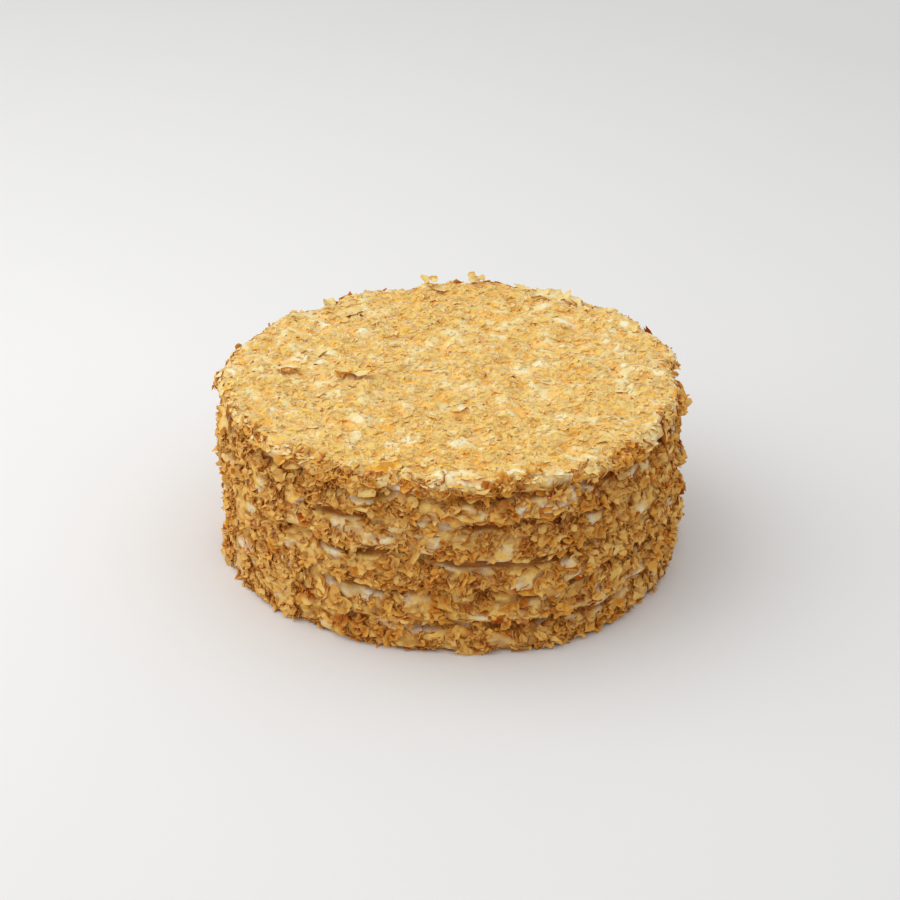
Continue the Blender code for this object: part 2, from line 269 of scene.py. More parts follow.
# The floor and the room
DIFFUSE_BOUNCES = 8
FLOOR_REACH = 4.0
# The floor is painted paler round a point near the cake's left and darker further off: a painted pool of
# light
FLOOR_PAINTED_LIGHT_AT = (-0.22, 0.08, 0.0)
FLOOR_FADE = (0.1, 0.75)  # distances between which the floor falls to its darker tone
FLOOR_NEAR = (0.79, 0.79, 0.79)
FLOOR_FAR = (0.645, 0.645, 0.645)
ROOM_SIDES = (0.46, 0.46, 0.46)
ROOM_CEILING = (0.98, 0.98, 0.975)

# The window: its place, what it faces, its size, power and colour
WINDOW = (Vector((-1.05, -0.05, 1.0)), Vector((0.0, 0.0, 0.03)), 2.0, 13.0, (1.0, 0.985, 0.96))

# Baked pastry from pale to well browned, the colours it takes at thin rims, and the painted shade
# that darkens it down in the gaps and on its undersides
# The side's colours are darker and browner than the top's: partly the pastry's own colour, partly
# painted shade for a side that gets less light from above
SIDE_BAKED = (
    (0.0, (0.80, 0.60, 0.24)),
    (0.35, (0.745, 0.43, 0.08)),
    (0.6, (0.68, 0.29, 0.015)),
    (0.95, (0.50, 0.14, 0.004)),
)
TOP_BAKED = (
    (0.0, (0.82, 0.77, 0.55)),
    (0.4, (0.79, 0.66, 0.34)),
    (0.7, (0.79, 0.54, 0.13)),
    (0.95, (0.77, 0.34, 0.02)),
)
SIDE_RIM = (0.79, 0.54, 0.15)
TOP_RIM = (0.81, 0.65, 0.26)
# Painted shade: tints for low down among the crumbs and for undersides
SIDE_DEPTH_SHADE = (0.50, 0.13, 0.01)
TOP_DEPTH_SHADE = (1.0, 0.68, 0.20)
SIDE_UNDERSIDE_SHADE = (0.94, 0.55, 0.17)
TOP_UNDERSIDE_SHADE = (1.0, 0.68, 0.22)
SIDE_DEPTHS = (0.9, -0.4)  # heights over the coat, in millimetres, at which darkening starts and ends
TOP_DEPTHS = (0.4, -0.5)
SIDE_RIM_SHARE = 0.75
TOP_RIM_SHARE = 0.4

# Cream and soaked pastry, and the painted shade under the crumbs and in the creases and grooves, on
# the side and on the top
# The side's are darker than the top's: partly their own colour, partly painted shade for the side
CREAM = (
    (0.4, (0.79, 0.53, 0.18)),
    (0.52, (0.80, 0.63, 0.31)),
    (0.62, (0.82, 0.74, 0.54)),
)
TOP_CREAM = (
    (0.4, (0.82, 0.66, 0.30)),
    (0.52, (0.84, 0.74, 0.42)),
    (0.62, (0.87, 0.81, 0.58)),
)
SOAKED = ((0.3, (0.76, 0.41, 0.06)), (0.5, (0.80, 0.52, 0.13)), (0.7, (0.84, 0.62, 0.23)))
TOP_SOAKED = ((0.3, (0.82, 0.62, 0.22)), (0.5, (0.82, 0.70, 0.36)), (0.7, (0.82, 0.76, 0.50)))
UNDER_CRUMBS_SHADE = (0.54, 0.20, 0.022)
TOP_UNDER_CRUMBS_SHADE = (0.82, 0.57, 0.15)
SPECK = (0.83, 0.41, 0.065)
TOP_SPECK = (0.84, 0.55, 0.13)
CREVICE_SHADE = (0.36, 0.10, 0.008)
TOP_CREVICE_SHADE = (0.92, 0.48, 0.07)


def smooth_step(share):
    share = min(max(share, 0.0), 1.0)
    return share * share * (3.0 - 2.0 * share)


def relief(place, swell, clump):
    """Height of the coat at a place: soft swells, with clumps that meet in creases."""
    swell_across, swell_rise = swell
    clump_across, clump_rise = clump
    nearest = noise.voronoi(place / clump_across)[0][0]
    return swell_rise * noise.noise(place / swell_across) + clump_rise * (0.5 - nearest)


def round_noise(angle, rate, level):
    """Noise that closes on itself round the cake, from about -1 to 1."""
    place = Vector((rate * math.cos(angle), rate * math.sin(angle), level))
    return NOISE_GAIN * noise.noise(place)


@functools.lru_cache(maxsize=None)
def outline_radius(angle):
    swell = OUTLINE_SWELL * (math.cos(angle) - math.cos(3.0 * angle))
    lump = OUTLINE_LUMP * round_noise(angle, OUTLINE_LUMP_RATE, OUTLINE_LEVEL)
    return RADIUS * (1.0 + swell) + lump


def top_height(x, y):
    """Height of the top at a place in plan."""
    back_right = (x * math.cos(TOP_TILT_ANGLE) + y * math.sin(TOP_TILT_ANGLE)) / RADIUS
    return HEIGHT + CRUMB_MAT + TOP_TILT * back_right + relief(Vector((x, y, 0.0)), TOP_SWELL, TOP_CLUMP)


@functools.lru_cache(maxsize=None)
def rim_height(angle):
    reach = outline_radius(angle) - RIM_INSET
    return top_height(reach * math.cos(angle), reach * math.sin(angle)) - RIM_INSET / 2


@functools.lru_cache(maxsize=None)
def line_height(line, angle):
    """Height of a groove at an angle. The line past the last groove is the top rim."""
    if line == 0:
        return 0.0
    if line > TOP_SHEET:
        return rim_height(angle)
    sway = LINE_SWAY * round_noise(angle, LINE_SWAY_RATE, LINE_LEVEL_GAP * line)
    return min(HEIGHT * SHEET_LINES[line] + sway, rim_height(angle) - TOP_SHEET_LEAST)


def ledge_shape(share):
    """How far a sheet stands out, from -1 in the groove below it to 1 at its lip."""
    if share < LIP_AT:
        return 2.0 * smooth_step(share / LIP_AT) - 1.0
    if share < LIP_END:
        return 1.0 + (LIP_END_LEVEL - 1.0) * (share - LIP_AT) / (LIP_END - LIP_AT)
    return LIP_END_LEVEL - (1.0 + LIP_END_LEVEL) * smooth_step((share - LIP_END) / (1.0 - LIP_END))


@functools.lru_cache(maxsize=None)
def ledge_depth(line, angle):
    """Half the depth of the groove under a sheet. It fades in and out round the cake."""
    change = round_noise(angle, LEDGE_RATE, LEDGE_LEVEL + LEDGE_LEVEL_GAP * line)
    strength = smooth_step(LEDGE_USUAL + LEDGE_CHANGE * change)
    return LEDGE_DEPTH * (LEDGE_FAINTEST + (1.0 - LEDGE_FAINTEST) * strength)


def wall_point(line, share, angle):
    """Point on the side: a sheet's line, a share of the way up that sheet, and an angle."""
    low = line_height(line, angle)
    high = line_height(line + 1, angle)
    height = low + (high - low) * share
    top_sheet = line == TOP_SHEET
    depth_below = ledge_depth(line, angle)
    depth_above = ledge_depth(min(line + 1, TOP_SHEET), angle)
    depth = depth_below + (depth_above - depth_below) * share
    shape = ledge_shape(min(share, LIP_AT) if top_sheet else share)
    radius = outline_radius(angle) + depth * shape
    if line == 0:
        radius -= FOOT_TUCK * (1.0 - smooth_step(share / LIP_AT))
    around = Vector((math.cos(angle), math.sin(angle), 0.0))
    if height > 0.0:
        radius += relief(around * RADIUS + Vector((0.0, 0.0, height)), WALL_SWELL, WALL_CLUMP)
    into_rim = max(0.0, (height - (high if top_sheet else HEIGHT) + RIM_ROUND) / RIM_ROUND)
    radius -= RIM_INSET * (1.0 - math.sqrt(max(0.0, 1.0 - min(into_rim, 1.0) ** 2)))
    return around * radius + Vector((0.0, 0.0, height))


def coat_rows():
    """The rows of the coat's side from the foot to the rim, as (line, share)."""
    rows = []
    for line, low in enumerate(SHEET_LINES):
        high = 1.0 if line == TOP_SHEET else SHEET_LINES[line + 1]
        steps = max(3, round((high - low) * HEIGHT / COAT_STEP))
        rows += [(line, step / steps) for step in range(steps)]
    return rows + [(TOP_SHEET, 1.0)]


def top_places(rim):
    """Places in plan for the top's own points: a triangular grid inside the rim."""
    row_gap = COAT_TOP_GAP * math.sqrt(3.0) / 2.0
    reach = int(RADIUS / row_gap) + 1
    inner = []
    for row in range(-reach, reach + 1):
        for column in range(-reach - 1, reach + 1):
            x = (column + 0.5 * (row % 2)) * COAT_TOP_GAP
            y = row * row_gap
            edge = rim[round(math.atan2(y, x) / math.tau * COAT_SEGMENTS) % COAT_SEGMENTS]
            if math.hypot(x, y) < edge.xy.length - 0.8 * COAT_TOP_GAP:
                inner.append(Vector((x, y)))
    return inner


def add_top(body, rim_verts):
    """Closes the top with the rim's points and a grid of its own."""
    places = [vert.co.xy for vert in rim_verts] + top_places([vert.co for vert in rim_verts])
    edges = [(i, (i + 1) % COAT_SEGMENTS) for i in range(COAT_SEGMENTS)]
    triangles = geometry.delaunay_2d_cdt(places, edges, [], 1, TRIANGLE_SLACK)[2]
    verts = rim_verts + [
        body.verts.new((place.x, place.y, top_height(place.x, place.y)))
        for place in places[COAT_SEGMENTS:]
    ]
    for triangle in triangles:
        body.faces.new([verts[i] for i in triangle])


def patch_share(place, patches):
    """How much of one of the named patches is at a place, and how far it stands out or goes in."""
    best = 0.0
    rise = 0.0
    if place.xy.length < RADIUS - PATCH_DEPTH:
        return best, rise
    angle = math.degrees(math.atan2(place.x, -place.y))
    for centre, height, half_width, half_height, out in patches:
        across = math.radians(angle - centre) * RADIUS / (half_width * MM)
        up = (place.z - height * MM) / (half_height * MM)
        share = smooth_step(1.4 * (1.0 - across * across - up * up))
        best = max(best, share)
        rise = max(rise, share * out * MM)
    return best, rise


def area_share(place, areas, on_top):
    """How much of the coat is cream, or soaked pastry, at a place, from 0 to 1."""
    across, stretch, shift, finer, starts, blend = areas
    along = Vector((place.x, place.y, place.z * stretch)) / across
    level = noise.noise(along + shift) + 0.4 * noise.noise(along * finer)
    return smooth_step((level - (starts[1] if on_top else starts[0])) / blend)


def fine_relief(place, cream, bare, on_top):
    """Fine bumps of the coat: lumps and grains where it is crumbly, soft smears where it is cream."""
    strength = (1.0 - 0.6 * cream) * (TOP_RELIEF if on_top else 1.0)
    lump = LUMP[1] * (1.0 - 0.5 * max(cream, bare)) * (0.45 - noise.voronoi(place / LUMP[0])[0][0])
    grain = GRAIN[1] * (0.45 - noise.voronoi(place / GRAIN[0])[0][0])
    long = Vector((place.x, place.y, place.z * SMEAR_STRETCH)) / SMEAR[0]
    smear = SMEAR[1] * noise.noise(long)
    swell = TOP_LUMP[1] * noise.noise(place / TOP_LUMP[0]) if on_top else 0.0
    return strength * (lump + grain) + smear + swell


def near(distance, width):
    return math.exp(-((distance / width) ** 2))


def ledge_fields(line, share, angle):
    """How much of a groove and how much of a lip is at a point of the side."""
    low = line_height(line, angle)
    high = line_height(line + 1, angle)
    over = share * (high - low)
    under = (1.0 - share) * (high - low)
    here = ledge_depth(line, angle) / LEDGE_DEPTH if line else 0.0
    above = ledge_depth(line + 1, angle) / LEDGE_DEPTH if line < TOP_SHEET else 0.0
    groove = max(here * near(over, GROOVE_WIDTH), above * near(under, GROOVE_WIDTH))
    lip = here * near(over - LIP_OVER_GROOVE, LIP_WIDTH)
    return groove, lip


def coat_body():
    """The bare coat, without its fine relief, as a closed bmesh with a flat underside."""
    body = bmesh.new()
    angles = [math.tau * i / COAT_SEGMENTS for i in range(COAT_SEGMENTS)]
    rings = []
    ledges = []
    for line, share in coat_rows():
        rings.append([body.verts.new(wall_point(line, share, angle)) for angle in angles])
        ledges += [ledge_fields(line, share, angle) for angle in angles]
    for below, above in zip(rings, rings[1:]):
        for i in range(COAT_SEGMENTS):
            j = (i + 1) % COAT_SEGMENTS
            body.faces.new((below[i], below[j], above[j], above[i]))
    body.faces.new(list(reversed(rings[0])))
    add_top(body, rings[-1])
    bmesh.ops.recalc_face_normals(body, faces=body.faces[:])
    body.normal_update()
    return body, ledges


def coat_uv(mesh):
    """One map for the coat: the side unrolled below, the top and the underside above it."""
    uv = mesh.uv_layers.new(name="OFBake")
    reach = 2.1 * RADIUS
    for face in mesh.polygons:
        centre = face.center
        base_angle = math.atan2(centre.y, centre.x)
        for loop in face.loop_indices:
            place = mesh.vertices[mesh.loops[loop].vertex_index].co
            if abs(face.normal.z) > 0.99 and centre.z < 0.5 * MM:
                where = (0.55 + 0.4 * (place.x / reach + 0.5), 0.55 + 0.4 * (place.y / reach + 0.5))
            elif centre.z > rim_height(0.0) - 3.0 * MM and face.normal.z > 0.5:
                where = (0.02 + 0.5 * (place.x / reach + 0.5), 0.47 + 0.5 * (place.y / reach + 0.5))
            else:
                turn = math.remainder(math.atan2(place.y, place.x) - base_angle, math.tau)
                around = (base_angle + turn) / math.tau + 0.5
                where = (0.01 + 0.98 * around, 0.01 + 0.43 * place.z / HEIGHT)
            uv.data[loop].uv = where


def new_object(name, data):
    made = bpy.data.objects.new(name, data)
    bpy.context.scene.collection.objects.link(made)
    return made


def add_values(mesh, values):
    """Gives the points of a mesh the numbers that its material reads."""
    for name, numbers in values.items():
        field = mesh.attributes.new(name, "FLOAT", "POINT")
        field.data.foreach_set("value", np.ascontiguousarray(numbers).ravel())


def coat_values(body, ledges):
    """What covers the coat at each of its points, how far it stands out there, and its creases."""
    wall_count = len(ledges)
    groove, lip, cream, bare, rise, crease = np.zeros((6, len(body.verts)))
    groove[:wall_count], lip[:wall_count] = np.array(ledges).T
    for i, vert in enumerate(body.verts):
        on_top = i >= wall_count
        patch, patch_rise = patch_share(vert.co, CREAM_PATCHES)
        hole, hole_depth = patch_share(vert.co, HOLES)
        cream[i] = max(patch, area_share(vert.co, CREAM_AREAS, on_top)) * (1.0 - hole)
        bare[i] = area_share(vert.co, BARE_AREAS, on_top) * (1.0 - hole)
        # The holes take the grooves' painted shade, and their thinning of crumbs
        groove[i] = max(groove[i], hole)
        if vert.co.z > 0.0:
            fine = fine_relief(vert.co, cream[i], bare[i], on_top)
            ledge = LIP_SWELL * lip[i] - max(GROOVE_CUT * groove[i], hole_depth)
            rise[i] = fine + patch_rise + ledge
            crease[i] = fine / MM
    return {"groove": groove, "lip": lip, "cream": cream, "bare": bare, "rise": rise, "crease": crease}


def scatter_fields(mesh, base, normal, shaped, values):
    """What the crumbs are scattered by: the coat's triangles, and fields at its points."""
    relief_normal = np.zeros((len(base), 3))
    mesh.vertices.foreach_get("normal", relief_normal.ravel())
    mesh.calc_loop_triangles()
    corners = np.zeros(len(mesh.loop_triangles) * 3, dtype=np.int64)
    mesh.loop_triangles.foreach_get("vertices", corners)
    corners = corners.reshape(-1, 3)
    corners = corners[base[corners][:, :, 2].max(axis=1) > 0.0]
    edges = shaped[corners]
    cross = np.cross(edges[:, 1] - edges[:, 0], edges[:, 2] - edges[:, 0])
    upper = (base[:, 2] > HEIGHT - RIM_ROUND).astype(float)
    front = np.clip(-1.5 * base[:, 1] / RADIUS, 0.0, 1.0)
    pale = PALE_RIM * upper * (1.0 - front)
    # The left side's paler crumbs are painted light, for the side that faces the window
    pale += PALE_LEFT_PAINTED_LIGHT * np.clip(-base[:, 0] / RADIUS, 0.0, 1.0)
    pale += PALE_ENDS * np.abs(base[:, 0] / RADIUS) ** 3
    return {
        **values,
        "place": shaped,
        "normal": unit(normal + RELIEF_FOLLOWED * relief_normal),
        "corners": corners,
        "area": 0.5 * np.linalg.norm(cross, axis=1),
        "facing_up": normal[:, 2],
        "upper": upper,
        "front": front,
        "pale": pale,
    }


def make_coat():
    """The coat as an object, with the fields that the crumbs are scattered by."""
    body, ledges = coat_body()
    base = np.array([vert.co for vert in body.verts])
    normal = np.array([vert.normal for vert in body.verts])
    values = coat_values(body, ledges)
    mesh = bpy.data.meshes.new("cream_coat")
    body.to_mesh(mesh)
    body.free()
    shaped = base + normal * values["rise"][:, None]
    shaped[:, 2] = np.where(base[:, 2] > 0.0, np.maximum(shaped[:, 2], COAT_LOWEST), 0.0)
    mesh.vertices.foreach_set("co", shaped.ravel())
    mesh.update()
    read = {name: values[name] for name in ("cream", "bare", "crease", "groove")}
    add_values(mesh, {**read, "topness": np.clip(normal[:, 2], 0.0, 1.0) ** 2})
    mesh.shade_smooth()
    coat_uv(mesh)
    return new_object("cream_coat", mesh), scatter_fields(mesh, base, normal, shaped, values)


def unit(vectors):
    return vectors / np.maximum(np.linalg.norm(vectors, axis=1, keepdims=True), 1e-12)


def scatter(fields, count, density, draw):
    """Random places on the coat, as dense as the density at each of its points says."""
    corners = fields["corners"]
    weight = fields["area"] * density[corners].mean(axis=1)
    edges = np.cumsum(weight)
    level = (np.arange(count) + draw.random(count)) / count * edges[-1]
    face = corners[np.searchsorted(edges, level)]
    along = np.sqrt(draw.random(count))
    across = draw.random(count)
    share = np.stack([1.0 - along, along * (1.0 - across), along * across], axis=1)
    place = (fields["place"][face] * share[:, :, None]).sum(axis=1)
    normal = unit((fields["normal"][face] * share[:, :, None]).sum(axis=1))
    found = {key: (fields[key][face] * share).sum(axis=1) for key in ("bare", "groove", "lip", "pale")}
    return {"place": place, "normal": normal, **found}


def field_values(places, across, shift, source=noise.noise):
    """Smooth random values, or vectors, so that neighbouring flakes are alike."""
    offset = Vector((shift, shift, shift))
    return np.array([source(Vector(place) / across + offset) for place in places])


def along_surface(field, normal):
    return unit(field - normal * (field * normal).sum(axis=1, keepdims=True))


def spun_axes(side, facing, spin):
    """Axes of leaves that face one way, turned on their faces by an angle."""
    along = side * np.cos(spin) + np.cross(facing, side) * np.sin(spin)
    return along, np.cross(facing, along), facing


def lay_frames(spots, lean, lay, draw):
    """Axes of flakes that lean off the surface by the angles in lean, towards a smooth field."""
    rise, jitter, across = lay
    normal = spots["normal"]
    count = len(normal)
    field = field_values(spots["place"], across, 7.3, noise.noise_vector)
    field = field + jitter * draw.normal(size=(count, 3))
    field[:, 2] += (rise + LIP_RISE * spots["lip"]) * (1.0 - np.abs(normal[:, 2]))
    tangent = along_surface(field, normal)
    facing = unit(normal * np.cos(lean)[:, None] + tangent * np.sin(lean)[:, None])
    side = unit(np.cross(tangent, facing))
    return spun_axes(side, facing, draw.normal(scale=SPIN, size=(count, 1)))


def leaf_template(points, rings):
    """A two-sided leaf in polar steps: reach, spoke and side of each point, and the triangles."""
    upper = [(ring / rings, 1) for ring in range(1, rings)]
    lower = [(reach, -1) for reach, _side in reversed(upper)]
    rows = [(0.0, 0, 1)]
    for reach, side in upper + [(1.0, 0)] + lower:
        rows += [(reach, spoke, side) for spoke in range(points)]
    last = len(rows)
    rows.append((0.0, 0, -1))
    starts = range(1, last, points)
    faces = []
    for i in range(points):
        j = (i + 1) % points
        faces.append((0, 1 + i, 1 + j))
        for inner, outer in zip(starts, starts[1:]):
            faces.append((inner + i, outer + i, outer + j))
            faces.append((inner + i, outer + j, inner + j))
        faces.append((last, starts[-1] + j, starts[-1] + i))
    reach, spoke, side = np.array(rows).T
    return reach, spoke.astype(int), side, np.array(faces)


def leaf_corners(template, points):
    """Where the corners of a leaf's faces lie in its cell of the map, with its two sides apart."""
    reach, spoke, _side, faces = template
    turn = math.tau * spoke / points
    across = 0.5 + 0.45 * reach * np.cos(turn)
    up = 0.5 + 0.45 * reach * np.sin(turn)
    below = np.arange(len(faces)) % (len(faces) // points) >= len(faces) // points // 2
    return (across[faces] * 0.48 + np.where(below, 0.51, 0.01)[:, None]).ravel(), up[faces].ravel()


def cell_uv(mesh, count, corners):
    """Gives every leaf a cell of its own in one map."""
    corner_u, corner_v = corners
    cells = math.ceil(math.sqrt(count))
    leaf = np.arange(count)
    u = (corner_u[None, :] + (leaf % cells)[:, None]) / cells
    v = (corner_v[None, :] + (leaf // cells)[:, None]) / cells
    uv = mesh.uv_layers.new(name="OFBake")
    uv.data.foreach_set("uv", np.stack([u.ravel(), v.ravel()], axis=1).ravel().astype(np.float32))


def crumb_points(centre, axes, ways):
    """Points of many like crumbs, (crumb, point, axis), from how far they lie along its axes."""
    verts = centre[:, None, :]
    for axis, way in zip(axes, ways):
        verts = verts + axis[:, None, :] * way[:, :, None]
    verts[:, :, 2] = np.maximum(verts[:, :, 2], LEAF_LOWEST)
    return verts


def crumb_piece(name, verts, faces, corners, values):
    """One object from the points of many like crumbs and the faces of one."""
    count, size = verts.shape[:2]
    mesh = bpy.data.meshes.new(name)
    mesh.vertices.add(count * size)
    mesh.vertices.foreach_set("co", verts.ravel())
    loops = (faces[None, :, :] + (np.arange(count) * size)[:, None, None]).ravel()
    mesh.loops.add(len(loops))
    mesh.loops.foreach_set("vertex_index", loops)
    mesh.polygons.add(len(loops) // 3)
    mesh.polygons.foreach_set("loop_start", np.arange(0, len(loops), 3))
    mesh.update(calc_edges=True)
    mesh.set_sharp_from_angle(angle=SHARP_FROM)
    add_values(mesh, {key: np.broadcast_to(numbers, (count, size)) for key, numbers in values.items()})
    cell_uv(mesh, count, corners)
    return new_object(name, mesh)


def rim_waves(count, points, draw):
    """Smooth random waves round the rims of leaves, about one unit high."""
    turn = math.tau * np.arange(points) / points
    waves = np.zeros((count, points))
    for cycles in RIM_WAVES:
        size = draw.normal(scale=0.8, size=(count, 1))
        waves += size * np.cos(cycles * turn + draw.uniform(0.0, math.tau, size=(count, 1)))
    return waves


def make_leaves(name, spots, axes, sizes, tone, rim, draw):
    """All the leaves of one kind as one mesh. sizes has their length, width, curl, ruffle, depth."""
    points, rings, raggedness = rim
    template = leaf_template(points, rings)
    reach, spoke, side, faces = template
    count = len(tone)
    length, width, curl, ruffle, sunk = sizes
    ragged = 1.0 + raggedness * np.clip(0.6 * rim_waves(count, points, draw), -1.0, 1.0)
    ragged += 0.3 * raggedness * draw.uniform(-1.0, 1.0, size=(count, points))
    wave = rim_waves(count, points, draw)
    turn = math.tau * spoke / points
    x = 0.5 * length[:, None] * reach * np.cos(turn) * ragged[:, spoke]
    y = 0.5 * width[:, None] * reach * np.sin(turn) * ragged[:, spoke]
    bent = np.cos(turn + draw.uniform(0.0, math.tau, size=(count, 1)))
    curled = curl[:, None] * (bent * reach) ** 2
    ruffled = ruffle[:, None] * wave[:, spoke] * reach**2
    z = length[:, None] * (curled + ruffled) + side * 0.5 * LEAF_THICKNESS
    lift = (length * curl * 0.3 - sunk)[:, None]
    verts = crumb_points(spots["place"] + spots["normal"] * lift, axes, (x, y, z))
    height = ((verts - spots["place"][:, None, :]) * spots["normal"][:, None, :]).sum(axis=2)
    # lift and under carry painted shade: the height over the coat, and 1 on the underside
    values = {"tone": tone[:, None], "edge": reach**3, "lift": height / MM, "under": 0.5 - 0.5 * side}
    return crumb_piece(name, verts, faces, leaf_corners(template, points), values)


def between(draw, limits, count):
    """Random sizes from the least to the most. A power over 1 makes small ones more common."""
    least, most, power = limits
    return least + (most - least) * draw.random(count) ** power


def leaf_sizes(form, count, draw, length=None):
    """Random length, unless it is given, and width, curl and ruffle of leaves of one form."""
    if length is None:
        length = between(draw, form.length, count)
    width = length * draw.uniform(*form.width, count)
    return length, width, draw.uniform(*form.curl, count), draw.uniform(*form.ruffle, count)


def clustered_lean(cluster, lean, draw):
    """Random angles off the surface, steeper in a cluster."""
    usual, with_cluster, chance, least, most = lean
    angle = usual + with_cluster * cluster + draw.normal(scale=chance, size=len(cluster))
    return np.radians(np.clip(angle, least, most))


def side_tone(tone, spots):
    """Makes a tone darker in the grooves as painted shade, and paler on the lips as a painted highlight,
    at the rim, on the left and at the ends.
    """
    return tone + 0.4 * spots["groove"] - 0.15 * spots["lip"] - spots["pale"]


def side_density(fields, cream_left, bare_left):
    """How dense crumbs are on the side, with few on the top, on bare patches and in the grooves."""
    end = SIDE_UP_TO + RIM_DROP * fields["front"]
    on_side = np.clip((end - fields["facing_up"]) / SLOPE_BLEND, 0.0, 1.0)
    ledges = (1.0 - GROOVE_THINS * fields["groove"]) * (1.0 + LIP_THICKENS * fields["lip"])
    bare = 1.0 - (1.0 - bare_left) * fields["bare"]
    return on_side * ledges * bare * (1.0 - (1.0 - cream_left) * fields["cream"])


def top_density(fields, cream_left):
    start = TOP_UP_FROM + RIM_DROP * fields["front"]
    on_top = np.clip((fields["facing_up"] - start) / SLOPE_BLEND, 0.0, 1.0)
    bare = 1.0 - TOP_BARE_THINS * fields["bare"]
    return on_top * bare * (1.0 - (1.0 - cream_left) * fields["cream"])


def make_side_curls(fields, draw):
    """Small curled flakes that stand on edge in ruffled clusters round the side."""
    spots = scatter(fields, SIDE_CURLS, side_density(fields, *CURLS_KEPT), draw)
    cluster = field_values(spots["place"], CURL_CLUSTER, 3.0)
    lean = clustered_lean(cluster, CURL_LEAN, draw)
    axes = lay_frames(spots, lean, CURL_LAY, draw)
    sizes = leaf_sizes(CURL_FORM, SIDE_CURLS, draw)
    sunk = 0.1 * MM - 0.04 * sizes[0] * np.sin(lean)
    tone = 0.45 + 0.8 * cluster + 0.5 * field_values(spots["place"], 13.0 * MM, 9.0)
    tone = side_tone(tone, spots) + draw.normal(scale=0.25, size=SIDE_CURLS)
    return make_leaves("side_curls", spots, axes, (*sizes, sunk), tone, CURL_FORM.rim, draw)


def make_side_flakes(fields, draw):
    """Wider flakes round the side, laid like shingles and half sunk in the cream."""
    spots = scatter(fields, SIDE_FLAKES, side_density(fields, *SHINGLES_KEPT), draw)
    lean = np.radians(np.abs(draw.normal(scale=SHINGLE_LEAN, size=SIDE_FLAKES)))
    axes = lay_frames(spots, lean, SHINGLE_LAY, draw)
    sizes = leaf_sizes(SHINGLE_FORM, SIDE_FLAKES, draw)
    sunk = (draw.uniform(-0.25, 0.35, SIDE_FLAKES) + 0.25 * spots["bare"]) * MM
    tone = 0.4 + 0.7 * field_values(spots["place"], 12.0 * MM, 9.0) - spots["pale"]
    tone = tone + draw.normal(scale=0.26, size=SIDE_FLAKES)
    return make_leaves("side_flakes", spots, axes, (*sizes, sunk), tone, SHINGLE_FORM.rim, draw)


def make_top_flakes(fields, draw):
    """The paler, flatter flakes that lie matted on the top."""
    spots = scatter(fields, TOP_FLAKES, top_density(fields, TOP_FLAKES_KEPT), draw)
    cluster = field_values(spots["place"], TOP_CLUSTER, 3.0)
    lean = clustered_lean(cluster, TOP_LEAN, draw)
    axes = lay_frames(spots, lean, TOP_LAY, draw)
    sizes = leaf_sizes(TOP_FORM, TOP_FLAKES, draw)
    sunk = 0.2 * MM - 0.1 * sizes[0] * np.sin(lean)
    tone = 0.3 + 0.8 * field_values(spots["place"], 6.0 * MM, 9.0)
    tone = tone + draw.normal(scale=0.14, size=TOP_FLAKES)
    return make_leaves("top_flakes", spots, axes, (*sizes, sunk), tone, TOP_FORM.rim, draw)


def ribbon_template():
    """Faces of a ribbon on edge, and their corners in its cell of the map.

    Every step along it has three points: its two roots in the coat and its sharp upper edge.
    """
    faces = []
    corner_u = []
    corner_v = []
    for i in range(RIBBON_STEPS):
        here = (3 * i, 3 * i + 1, 3 * i + 2)
        ahead = (3 * i + 3, 3 * i + 4, 3 * i + 5)
        start = 0.06 + 0.88 * i / RIBBON_STEPS
        end = 0.06 + 0.88 * (i + 1) / RIBBON_STEPS
        for strip, (low, high) in enumerate(((2, 0), (1, 2), (0, 1))):
            bottom = 0.02 + 0.33 * strip
            top = bottom + 0.3
            faces += [(here[low], here[high], ahead[high]), (here[low], ahead[high], ahead[low])]
            corner_u += [start, start, end, start, end, end]
            corner_v += [bottom, top, top, bottom, top, bottom]
    last = 3 * RIBBON_STEPS
    faces += [(0, 2, 1), (last, last + 1, last + 2)]
    corner_u += [0.005, 0.045, 0.025, 0.955, 0.995, 0.975]
    corner_v += [0.1, 0.1, 0.3, 0.1, 0.1, 0.3]
    return np.array(faces), (np.array(corner_u), np.array(corner_v))


